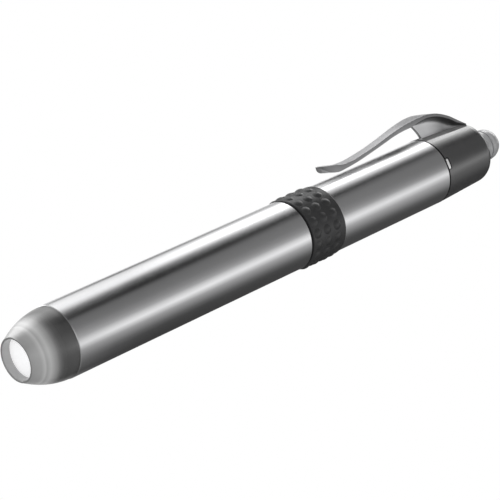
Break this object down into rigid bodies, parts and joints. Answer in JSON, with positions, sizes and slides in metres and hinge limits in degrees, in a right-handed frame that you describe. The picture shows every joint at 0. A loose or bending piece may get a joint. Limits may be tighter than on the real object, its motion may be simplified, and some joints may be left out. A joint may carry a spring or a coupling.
{
  "type": "penlight",
  "caption": "Slim steel penlight for cells in line, with a bullet nose, bumped grip ring, pocket clip and push-button tail switch.",
  "frame": {"origin": "on the light's axis, in the middle of the front barrel", "axes": "+X along the light towards the beam, +Z through the pocket clip, +Y to the left when looking along the beam with the clip on top"},
  "size_m": [0.133, 0.015, 0.0192],
  "materials": {
    "smoked_plastic": "smoked moulded plastic, glossy",
    "lit_lens": "clear lens, lit from behind",
    "bright_metal": "vacuum-metallised",
    "led_body": "clear resin",
    "circuit_board": "solder mask",
    "black_plastic": "moulded, matte",
    "contact_brass": "turned brass",
    "seal_rubber": "smooth black rubber",
    "satin_steel": "satin, brushed along the tube",
    "liner_plastic": "thin moulded sleeve",
    "cell_sleeve": "shrink sleeve, plain",
    "dark_metal": "black anodised",
    "grip_rubber": "black rubber with raised bumps",
    "cap_plastic": "dark grey, semi-gloss",
    "clip_metal": "satin, rolled edges",
    "frosted_plastic": "frosted, translucent",
    "spring_steel": "nickel-plated wire",
    "plunger_plastic": "moulded acetal"
  },
  "bodies": {
    "front_half": {"nose_housing": "smoked_plastic", "front_lens": "lit_lens", "reflector": "bright_metal", "led_emitter": "led_body", "led_board": "circuit_board", "led_holder": "black_plastic", "front_contact": "contact_brass", "nose_o_ring": "seal_rubber", "front_barrel": "satin_steel", "front_liner": "liner_plastic", "front_insert": "contact_brass", "battery_front": "cell_sleeve", "battery_rear": "cell_sleeve"},
    "seal_carrier": {"joint_o_ring": "seal_rubber"},
    "rear_half": {"barrel_coupler": "dark_metal", "grip_ring": "grip_rubber", "rear_barrel": "satin_steel", "rear_liner": "liner_plastic", "ground_ring": "contact_brass", "tail_cap": "cap_plastic", "clip_saddle": "clip_metal", "switch_body": "black_plastic", "switch_retainer": "black_plastic", "fixed_contact": "contact_brass", "battery_spring": "spring_steel", "switch_spring": "spring_steel", "button_gasket": "seal_rubber"},
    "button": {"push_button": "frosted_plastic", "switch_plunger": "plunger_plastic", "contact_disc": "contact_brass"},
    "clip": {"pocket_clip": "clip_metal"}
  },
  "joints": [
    {"name": "thread_advance", "type": "slide", "parent": "front_half", "child": "seal_carrier", "axis": [-1, 0, 0], "range_m": [0, 0.006], "deforming": ["battery_spring"]},
    {"name": "thread_turn", "type": "hinge", "parent": "seal_carrier", "child": "rear_half", "pos_m": [-0.0298, 0, 0], "axis": [-1, 0, 0], "range_deg": [0, 2160]},
    {"name": "button_press", "type": "slide", "parent": "rear_half", "child": "button", "axis": [1, 0, 0], "range_m": [0, 0.002], "stiffness_N_per_m": 800, "springref_m": -0.002, "deforming": ["switch_spring"]},
    {"name": "clip_flex", "type": "hinge", "parent": "rear_half", "child": "clip", "pos_m": [-0.0693, 0, 0.01166], "axis": [0, -1, 0], "range_deg": [0, 4], "stiffness_Nm_per_rad": 1, "springref_deg": -1.15}
  ],
  "couplings": [
    {"joint": "thread_turn", "follows": "thread_advance", "rad_per_m": 6283.2}
  ]
}
